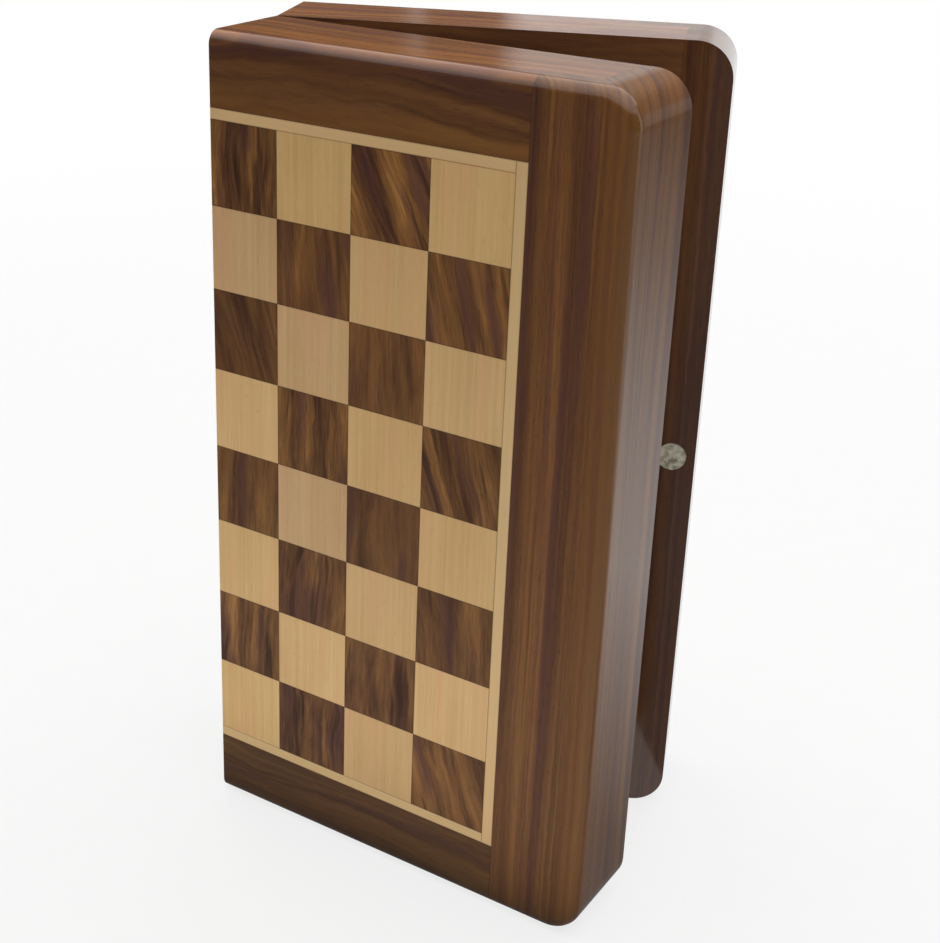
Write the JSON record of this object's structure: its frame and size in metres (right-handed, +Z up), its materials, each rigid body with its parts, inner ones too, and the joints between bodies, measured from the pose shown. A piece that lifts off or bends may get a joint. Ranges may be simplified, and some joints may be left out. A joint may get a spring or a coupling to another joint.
{
  "type": "folding chess set",
  "caption": "Hinged wooden chess box standing on one end, a little open, with inlaid chequered playing faces and chessmen in lined slots.",
  "frame": {"origin": "under the middle of the set's outline, on the plane that it stands on", "axes": "+Z up the set's long side, the near half's playing face looks towards -Y, the hinge line is on the -X side along +Z"},
  "size_m": [0.1436, 0.1064, 0.253],
  "materials": {
    "rosewood": "oiled and satin lacquered, streaked grain",
    "maple": "satin lacquered, fine straight grain",
    "plywood": "plain edge",
    "plated_steel": "dull zinc plate",
    "catch_magnet": "dull nickel plate",
    "velvet": "green velvet lining",
    "felt": "green felt",
    "brass": "polished brass",
    "boxwood": "turned and waxed",
    "stained_rosewood": "turned and waxed"
  },
  "bodies": {
    "near_half": {"near_border_outer": "rosewood", "near_border_top": "rosewood", "near_border_bottom": "rosewood", "near_wall_outer": "rosewood", "near_wall_top": "rosewood", "near_wall_bottom": "rosewood", "near_wall_hinge": "rosewood", "near_base_board": "plywood", "near_steel_sheet": "plated_steel", "near_dark_squares": "rosewood", "near_light_squares": "maple", "near_string_outer": "maple", "near_string_top": "maple", "near_string_bottom": "maple", "near_insert_floor": "velvet", "near_insert_rails": "velvet", "near_insert_dividers": "velvet", "near_catch_magnet": "catch_magnet", "near_hinge_screws": "brass", "near_hinge_leaf_upper": "brass", "near_hinge_leaf_lower": "brass", "light_king": "boxwood", "light_queen": "boxwood", "light_bishops": "boxwood", "light_knights": "boxwood", "light_rooks": "boxwood", "light_pawns": "boxwood", "light_base_magnets": "plated_steel", "light_base_felts": "felt", "hinge_pin_upper": "brass", "hinge_pin_lower": "brass"},
    "far_half": {"far_border_outer": "rosewood", "far_border_top": "rosewood", "far_border_bottom": "rosewood", "far_wall_outer": "rosewood", "far_wall_top": "rosewood", "far_wall_bottom": "rosewood", "far_wall_hinge": "rosewood", "far_base_board": "plywood", "far_steel_sheet": "plated_steel", "far_dark_squares": "rosewood", "far_light_squares": "maple", "far_string_outer": "maple", "far_string_top": "maple", "far_string_bottom": "maple", "far_insert_floor": "velvet", "far_insert_rails": "velvet", "far_insert_dividers": "velvet", "far_catch_magnet": "catch_magnet", "far_hinge_screws": "brass", "far_hinge_leaf_upper": "brass", "far_hinge_leaf_lower": "brass", "dark_king": "stained_rosewood", "dark_queen": "stained_rosewood", "dark_bishops": "stained_rosewood", "dark_knights": "stained_rosewood", "dark_rooks": "stained_rosewood", "dark_pawns": "stained_rosewood", "dark_base_magnets": "plated_steel", "dark_base_felts": "felt"}
  },
  "joints": [
    {"name": "box_hinge", "type": "hinge", "parent": "near_half", "child": "far_half", "pos_m": [-0.06093, -0.02157, 0.1265], "axis": [0, 0, 1], "range_deg": [-20.4, 159.6]}
  ]
}
